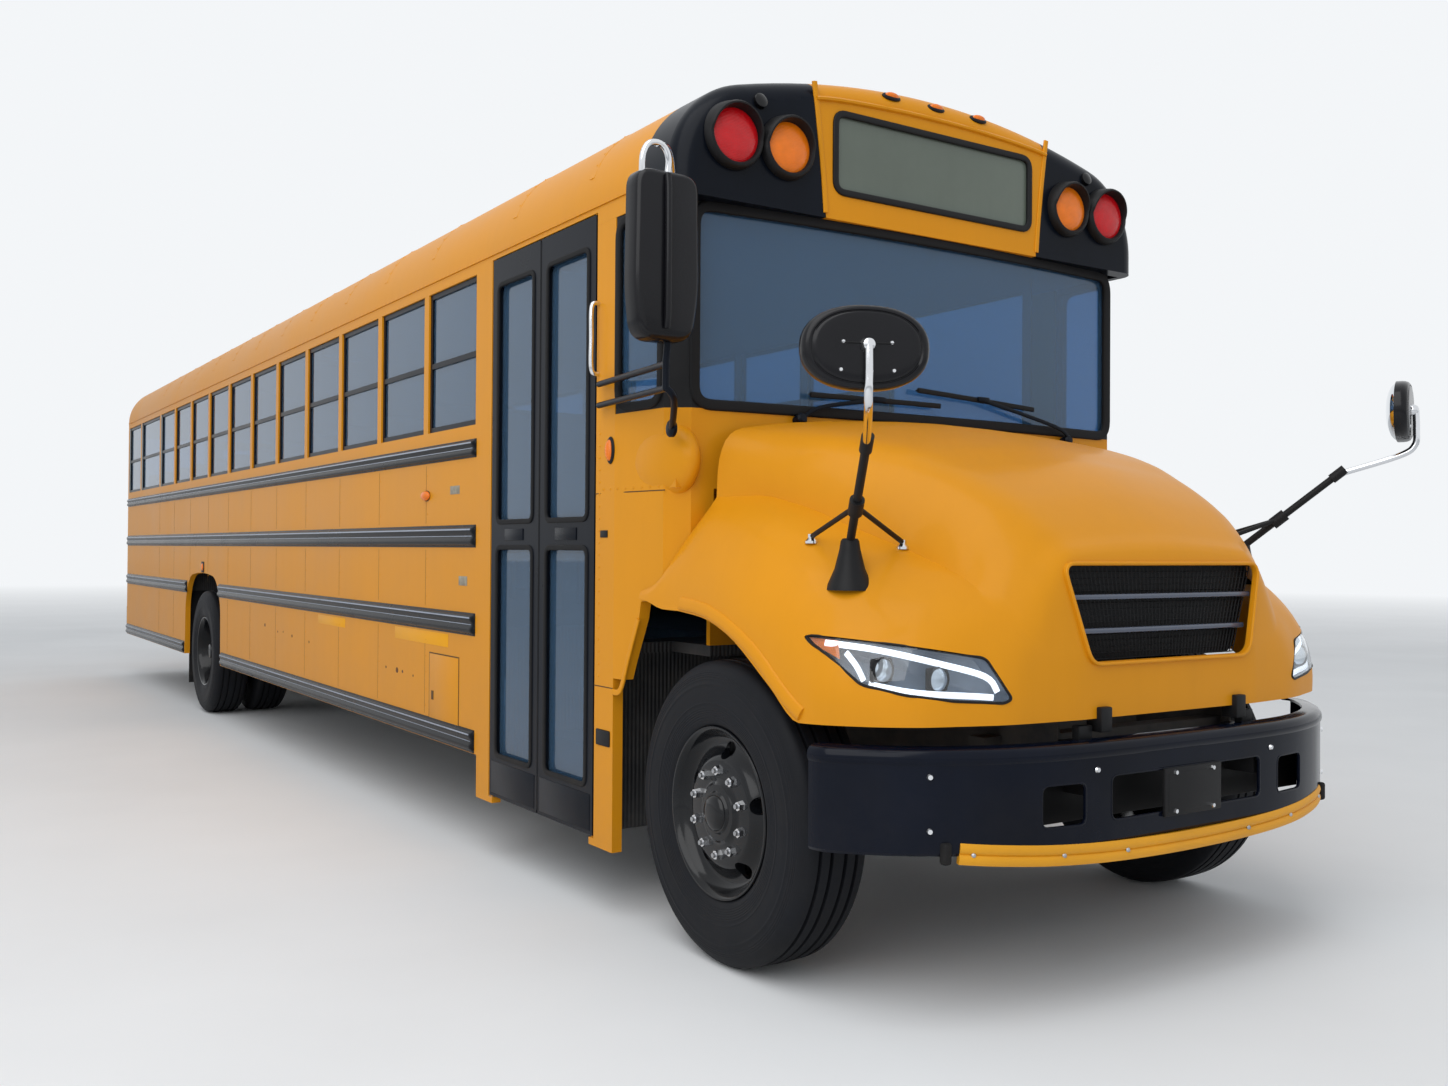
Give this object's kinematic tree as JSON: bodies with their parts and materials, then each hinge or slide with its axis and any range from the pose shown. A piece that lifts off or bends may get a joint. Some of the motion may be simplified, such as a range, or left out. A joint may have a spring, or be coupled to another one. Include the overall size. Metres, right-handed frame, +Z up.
{
  "type": "school bus",
  "caption": "Long-nosed school bus with hinged hood, two-leaf entrance door, rear emergency door, roof hatches, steered front wheels and twin rear wheels.",
  "frame": {"origin": "on the ground at the middle of the bus, the centre of its box", "axes": "front of the bus faces -Y, +X is the driver's side, +Z is up"},
  "size_m": [2.98, 12.95, 3.2169],
  "materials": {
    "yellow_paint": "satin school-bus yellow enamel, a little faded",
    "black_paint": "black enamel, satin",
    "black_gloss": "glossy black",
    "black_plastic": "moulded black plastic",
    "chassis_paint": "black chassis paint, dusty",
    "cast_steel": "painted cast steel",
    "glazing": "tinted safety glass",
    "windshield": "clear laminated glass",
    "lamp_clear": "clear lamp cover over reflectors",
    "lens_red": "ribbed red lens",
    "lens_amber": "ribbed amber lens",
    "sign_red": "red reflective sheet",
    "tyre_rubber": "black tyre rubber",
    "flap_rubber": "black sheet rubber",
    "floor_cover": "dark ribbed floor covering on steel",
    "seat_vinyl": "dark blue coated seat fabric",
    "dash_plastic": "grey black moulded plastic"
  },
  "bodies": {
    "bus_body": {"amber_warning_lamps": "lens_amber", "bumper_guard_bar": "yellow_paint", "cap_corner_panels": "black_gloss", "chassis_frame": "chassis_paint", "dashboard": "dash_plastic", "drive_shaft": "chassis_paint", "driver_seat": "seat_vinyl", "engine_block": "cast_steel", "flat_mirror": "black_plastic", "floor_pan": "floor_cover", "front_axle_beam": "cast_steel", "front_bumper": "black_paint", "front_cap": "yellow_paint", "front_cowl": "yellow_paint", "fuel_tank": "chassis_paint", "leaf_springs": "chassis_paint", "left_side_wall": "yellow_paint", "marker_lamps": "lens_amber", "mud_flaps": "flap_rubber", "rear_axle": "cast_steel", "rear_bumper": "black_paint", "rear_wall": "yellow_paint", "red_warning_lamps": "lens_red", "right_side_wall": "yellow_paint", "roof_shell": "yellow_paint", "rub_rails": "black_paint", "seat_backs": "seat_vinyl", "seat_cushions": "seat_vinyl", "seat_frames": "chassis_paint", "side_window_glass": "glazing", "tail_lamps": "lens_red", "window_sashes": "black_paint", "windshield_frame": "yellow_paint", "windshield_glass": "windshield", "wipers": "black_plastic"},
    "entry_leaf_front": {"door_leaf_front": "black_paint", "door_glass_front": "glazing"},
    "entry_leaf_rear": {"door_leaf_rear": "black_paint", "door_glass_rear": "glazing"},
    "emergency_door": {"rear_door": "yellow_paint", "rear_door_glass": "glazing"},
    "hood_assembly": {"hood": "yellow_paint", "grille": "black_plastic", "headlamps": "lamp_clear", "crossview_mirrors": "black_plastic"},
    "steer_left": {"knuckle_left": "cast_steel"},
    "steer_right": {"knuckle_right": "cast_steel"},
    "track_rod": {"tie_rod": "chassis_paint"},
    "front_wheel_left": {"wheel_front_left": "black_paint", "tyre_front_left": "tyre_rubber"},
    "front_wheel_right": {"wheel_front_right": "black_paint", "tyre_front_right": "tyre_rubber"},
    "rear_wheels_left": {"wheels_rear_left": "black_paint", "tyres_rear_left": "tyre_rubber"},
    "rear_wheels_right": {"wheels_rear_right": "black_paint", "tyres_rear_right": "tyre_rubber"},
    "hatch_front": {"roof_hatch_front": "yellow_paint"},
    "hatch_rear": {"roof_hatch_rear": "yellow_paint"},
    "stop_sign_arm": {"stop_arm": "sign_red"}
  },
  "joints": [
    {"name": "entry_front_hinge", "type": "hinge", "parent": "bus_body", "child": "entry_leaf_front", "pos_m": [-1.183, -4.552, 1.45], "axis": [0, 0, 1], "range_deg": [0, 88]},
    {"name": "entry_rear_hinge", "type": "hinge", "parent": "bus_body", "child": "entry_leaf_rear", "pos_m": [-1.183, -3.582, 1.45], "axis": [0, 0, -1], "range_deg": [0, 88]},
    {"name": "emergency_door_hinge", "type": "hinge", "parent": "bus_body", "child": "emergency_door", "pos_m": [-0.307, 6.357, 1.76], "axis": [0, 0, 1], "range_deg": [0, 100]},
    {"name": "hood_tilt", "type": "hinge", "parent": "bus_body", "child": "hood_assembly", "pos_m": [0, -6.285, 0.85], "axis": [1, 0, 0], "range_deg": [0, 60]},
    {"name": "steer_left_pivot", "type": "hinge", "parent": "bus_body", "child": "steer_left", "pos_m": [0.85, -5.375, 0.507], "axis": [0, 0, 1], "range_deg": [-40, 40]},
    {"name": "steer_right_pivot", "type": "hinge", "parent": "bus_body", "child": "steer_right", "pos_m": [-0.85, -5.375, 0.507], "axis": [0, 0, 1], "range_deg": [-40, 40]},
    {"name": "track_rod_pivot", "type": "hinge", "parent": "steer_left", "child": "track_rod", "pos_m": [0.85, -5.185, 0.395], "axis": [0, 0, 1], "range_deg": [-40, 40]},
    {"name": "front_wheel_left_spin", "type": "hinge", "parent": "steer_left", "child": "front_wheel_left", "pos_m": [1.026, -5.375, 0.507], "axis": [1, 0, 0], "continuous": true},
    {"name": "front_wheel_right_spin", "type": "hinge", "parent": "steer_right", "child": "front_wheel_right", "pos_m": [-1.026, -5.375, 0.507], "axis": [1, 0, 0], "continuous": true},
    {"name": "rear_wheels_left_spin", "type": "hinge", "parent": "bus_body", "child": "rear_wheels_left", "pos_m": [0.884, 2.525, 0.507], "axis": [1, 0, 0], "continuous": true},
    {"name": "rear_wheels_right_spin", "type": "hinge", "parent": "bus_body", "child": "rear_wheels_right", "pos_m": [-0.884, 2.525, 0.507], "axis": [1, 0, 0], "continuous": true},
    {"name": "hatch_front_hinge", "type": "hinge", "parent": "bus_body", "child": "hatch_front", "pos_m": [0, -1.529, 3.197], "axis": [-1, 0, 0], "range_deg": [0, 75]},
    {"name": "hatch_rear_hinge", "type": "hinge", "parent": "bus_body", "child": "hatch_rear", "pos_m": [0, 3.671, 3.197], "axis": [-1, 0, 0], "range_deg": [0, 75]},
    {"name": "stop_arm_hinge", "type": "hinge", "parent": "bus_body", "child": "stop_sign_arm", "pos_m": [1.232, -4.395, 1.64], "axis": [0, 0, -1], "range_deg": [0, 90]}
  ],
  "couplings": [
    {"joint": "entry_rear_hinge", "follows": "entry_front_hinge", "ratio": 1},
    {"joint": "steer_right_pivot", "follows": "steer_left_pivot", "ratio": 1},
    {"joint": "track_rod_pivot", "follows": "steer_left_pivot", "ratio": -1}
  ]
}
